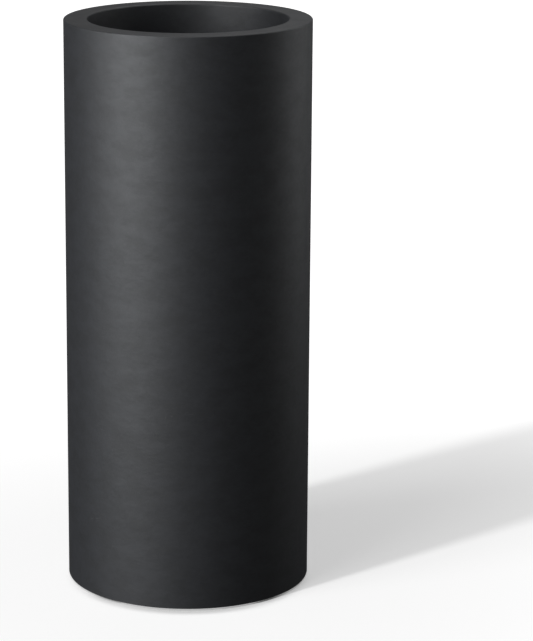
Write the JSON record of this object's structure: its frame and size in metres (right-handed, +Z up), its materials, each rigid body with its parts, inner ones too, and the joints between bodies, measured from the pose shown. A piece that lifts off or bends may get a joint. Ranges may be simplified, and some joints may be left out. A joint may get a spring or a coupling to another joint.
{
  "type": "tall fiberglass planter",
  "caption": "Tall round fibreglass floor planter: flat rim with a return lip, lift-out shelf on a stepped ledge, bonded base pan, rubber feet and rubber drain plugs.",
  "frame": {"origin": "on the planter's axis, at floor level under the feet, which is the centre of the bounding box's bottom face", "axes": "+Z up along the planter's axis, which is also its longest extent; -Y faces the camera of the picture; the wall, rim and shelf are the same all round, and +X runs through a drain plug, a gusset and a finger hole"},
  "size_m": [0.457, 0.457, 1.066],
  "materials": {
    "gelcoat": "satin",
    "laminate": "satin",
    "foam_core": "matte",
    "shelf_board": "satin",
    "bonding_paste": "matte",
    "black_rubber": "matte",
    "zinc_steel": "satin"
  },
  "bodies": {
    "planter_body": {"planter_shell": "gelcoat", "rim_core": "foam_core", "shelf_ledge": "laminate", "ledge_gusset_1": "laminate", "ledge_gusset_2": "laminate", "ledge_gusset_3": "laminate", "ledge_gusset_4": "laminate", "ledge_gusset_5": "laminate", "ledge_gusset_6": "laminate", "base_pan": "laminate", "base_fillet": "bonding_paste", "foot_1": "black_rubber", "foot_stud_1": "zinc_steel", "foot_washer_1": "zinc_steel", "foot_nut_1": "zinc_steel", "foot_2": "black_rubber", "foot_stud_2": "zinc_steel", "foot_washer_2": "zinc_steel", "foot_nut_2": "zinc_steel", "foot_3": "black_rubber", "foot_stud_3": "zinc_steel", "foot_washer_3": "zinc_steel", "foot_nut_3": "zinc_steel", "foot_4": "black_rubber", "foot_stud_4": "zinc_steel", "foot_washer_4": "zinc_steel", "foot_nut_4": "zinc_steel"},
    "shelf": {"insert_shelf": "shelf_board"},
    "plug_1": {"drain_plug_1": "black_rubber"},
    "plug_2": {"drain_plug_2": "black_rubber"},
    "plug_3": {"drain_plug_3": "black_rubber"},
    "plug_4": {"drain_plug_4": "black_rubber"}
  },
  "joints": [
    {"name": "shelf_lift", "type": "slide", "parent": "planter_body", "child": "shelf", "axis": [0, 0, 1], "range_m": [0, 0.42]},
    {"name": "drain_plug_1_pull", "type": "slide", "parent": "planter_body", "child": "plug_1", "axis": [0, 0, -1], "range_m": [0, 0.014]},
    {"name": "drain_plug_2_pull", "type": "slide", "parent": "planter_body", "child": "plug_2", "axis": [0, 0, -1], "range_m": [0, 0.014]},
    {"name": "drain_plug_3_pull", "type": "slide", "parent": "planter_body", "child": "plug_3", "axis": [0, 0, -1], "range_m": [0, 0.014]},
    {"name": "drain_plug_4_pull", "type": "slide", "parent": "planter_body", "child": "plug_4", "axis": [0, 0, -1], "range_m": [0, 0.014]}
  ]
}
